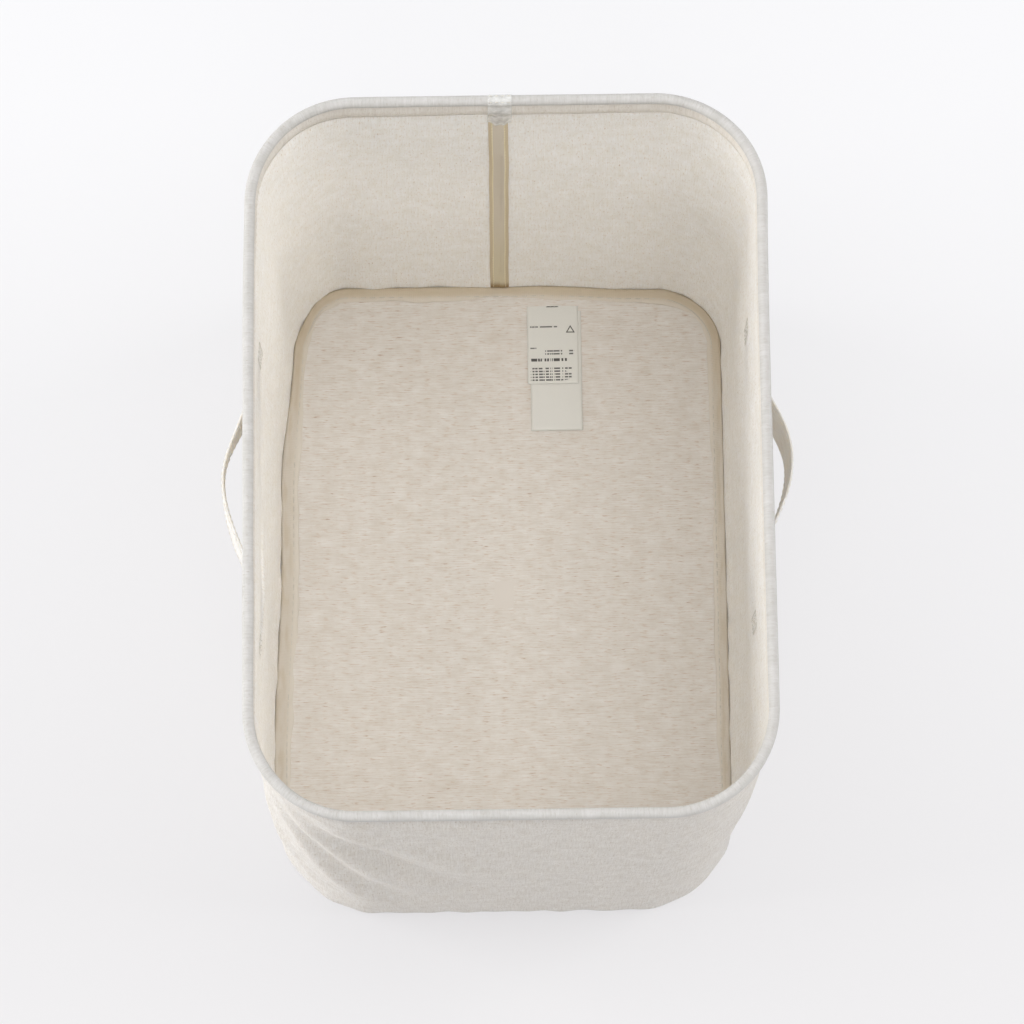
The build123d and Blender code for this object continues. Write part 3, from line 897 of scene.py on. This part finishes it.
# ---- carrying straps ----------------------------------------------------------------------------
SPAN = 142 * MM                          # between the sewn ends
STRAP_THICK = 1.7 * MM
STRAP_ROW = 0.8 * STRAP_HALF             # the edge stitches' place in the width


def strap_shape(side_sign, shift, peak, reach, back_lean, front_lean, sag):
    """Returns a function of (u along the wall, w up the strap, t out of its middle layer)
    that gives points of that strap. It bows out of the wall between its sewn ends as a power
    of a raised cosine with its top at peak, its upper edge leans out by one angle in its back
    part and by another in its front part, and it hangs a little in the middle."""
    def at(u, w, t):
        arm = np.where(u > peak, SPAN / 2 - peak, SPAN / 2 + peak)
        free = np.clip(np.abs(u - peak) / arm, 0, 1)
        bow = ((1 + np.cos(math.pi * free)) / 2) ** 1.3
        lean = back_lean * hump(u, 28 * MM, 17 * MM) + front_lean * hump(u, -20 * MM, 34 * MM)
        out = 1.0 * MM + reach * bow + t * np.cos(lean) + w * np.sin(lean)
        z = STRAP_Z + w * np.cos(lean) - sag * bow
        s = 0.25 * SIDE_SHARE / (HOOP_HALF[1] - HOOP_CORNER) * (u + shift)
        s = s if side_sign > 0 else 0.5 - s
        return wall_point(s, z, -out)
    return at


def strap(label, side_sign, shape):
    """Strap cloth with rounded edges, its edge stitches, and the box of stitches at each sewn
    end with its marks inside the wall."""
    end = SPAN / 2 + 12 * MM
    u = np.linspace(-end, end, 190)
    lap = np.linspace(0, TAU, 28, endpoint=False)
    w = STRAP_HALF * np.sign(np.cos(lap)) * np.abs(np.cos(lap)) ** 0.35
    t = STRAP_THICK / 2 * np.sign(np.sin(lap)) * np.abs(np.sin(lap)) ** 0.5
    edge = 0.25 * MM * hump(np.abs(w), STRAP_ROW, 1.2 * MM) * np.sign(t)
    ends = smooth((end - np.abs(u)) / (1.2 * MM)) * 0.5 + 0.5
    wavy = 1 + 0.012 * ripple(u, 0 * u, 81 + side_sign, 0.03)
    points = shape(u[:, None] + 0 * w, w[None] * wavy[:, None], (t - edge)[None] * ends[:, None])
    girth = np.concatenate([w, w[:1]])
    uv = np.stack([u[:, None] + 0 * girth, girth[None] + 0 * u[:, None]], -1)
    cloth = Piece(f"{label}_strap").grid(points, (False, True), uv, caps=True, flip=side_sign > 0)
    cloth = cloth.build([strap_linen], None, "strap_cloth", [
        f"handle_{label}_loop", f"handle_{label}_end_front", f"handle_{label}_end_back"])
    rows = []
    u = np.arange(-end + 3 * MM, end - 2 * MM, 3.2 * MM)
    for face in (-1, 1):
        for w0 in (-STRAP_ROW, STRAP_ROW):
            here = shape(u, w0, face * STRAP_THICK * 0.42)
            ahead = shape(u + 1 * MM, w0, face * STRAP_THICK * 0.42)
            out = shape(u, w0, face * (STRAP_THICK * 0.42 + 1 * MM)) - here
            rows.append(stitches(here, unit(ahead - here), unit(out), 2.7 * MM, 0.2 * MM,
                                 0.26 * MM))
    seams = Piece(f"{label}_strap_stitches").grid(np.concatenate(rows), (False, True), caps=True)
    seams = seams.build([pale_thread], None, "strap_thread")
    for piece in (cloth, seams):
        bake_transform(piece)
    rows = []
    corners = [(a * 4.2, b * 10) for a, b in ((-1, -1), (-1, 1), (1, -1), (1, 1))]
    for fore in (-1, 1):
        middle = fore * (SPAN / 2 + 6 * MM)
        for i, j in ((0, 1), (2, 3), (0, 2), (1, 3), (0, 3), (1, 2)):        # a box and its cross
            a, b = corners[i], corners[j]
            length = math.dist(a, b)
            many = round(length / 2.1)
            k = (np.arange(many) + 0.5) / many
            u = middle + (a[0] + (b[0] - a[0]) * k) * MM
            w = (a[1] + (b[1] - a[1]) * k) * MM
            du, dw = (b[0] - a[0]) / length * MM, (b[1] - a[1]) / length * MM
            for face, depth in ((1, STRAP_THICK * 0.45), (-1, -(CLOTH + 1.05 * MM))):
                here = shape(u, w, depth)
                ahead = shape(u + du, w + dw, depth)
                out = shape(u, w, depth + face * MM) - here
                rows.append(stitches(here, unit(ahead - here), unit(out), 1.9 * MM, 0.22 * MM,
                                     0.3 * MM))
    boxes = Piece(f"{label}_strap_box_stitches").grid(np.concatenate(rows), (False, True), caps=True)
    boxes.build([pale_thread], f"{label}_anchor", "strap_thread", [f"handle_{label}_bartacks"])


FACE_X = float(wall_point(np.array(0.0), np.array(STRAP_Z), 0)[0])       # the wall's outer face
strap("left", -1, strap_shape(-1, 3 * MM, 10 * MM, 16.6 * MM, -0.09, 0.0, 0.5 * MM))
strap("right", 1, strap_shape(1, 12.5 * MM, 8 * MM, 18.9 * MM, 0.13, 0.07, 1.0 * MM))

# ---- the rim_collapse joint's travel is read, and the wall, its seam tape and its seam stitches get meshes of their own ---
travel = next(j for j in frame["joints"] if j["name"] == "rim_collapse")["range_m"][1]
for piece in (wall_piece, seam_piece, stitch_piece):
    1 - travel / WALL_TOP
    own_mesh(piece)
